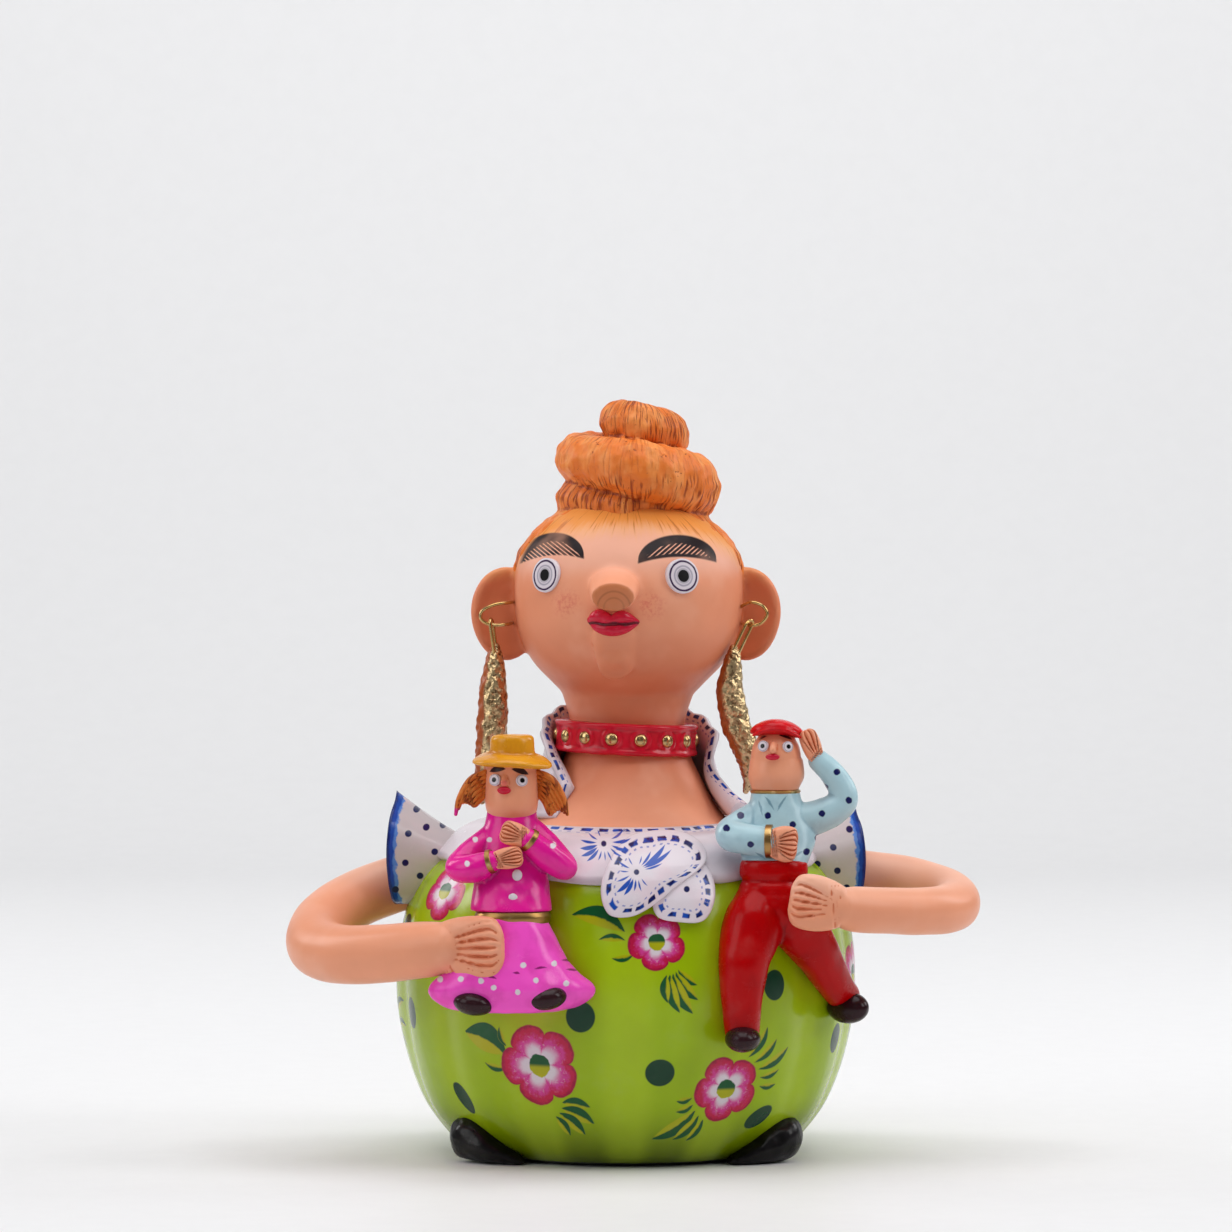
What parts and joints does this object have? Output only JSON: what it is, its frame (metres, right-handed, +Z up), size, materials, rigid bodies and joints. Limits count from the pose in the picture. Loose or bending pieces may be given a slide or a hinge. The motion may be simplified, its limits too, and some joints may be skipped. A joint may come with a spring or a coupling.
{
  "type": "ceramic folk figurine",
  "caption": "Painted clay figurine of a woman in a round lobed dress who holds a small lady and a small man in her looped arms; gilded drops hang from gold wires in her ears.",
  "frame": {"origin": "middle of the flat underside of the dress, on the surface it stands on", "axes": "+Z up, -Y towards the front that the picture shows, +X towards the viewer's right, which is the figure's own left"},
  "size_m": [0.2367, 0.1721, 0.2599],
  "materials": {
    "painted_clay": "glossy hand-painted clay",
    "gold_wire": "bright gold wire",
    "gilded_clay": "gilded clay, uneven and shiny"
  },
  "bodies": {
    "root": {"figurine": "painted_clay", "ear_loop_right": "gold_wire", "ear_loop_left": "gold_wire", "drop_link_right": "gold_wire", "drop_link_left": "gold_wire", "earring_drop_right": "gilded_clay", "earring_drop_left": "gilded_clay"}
  },
  "joints": []
}
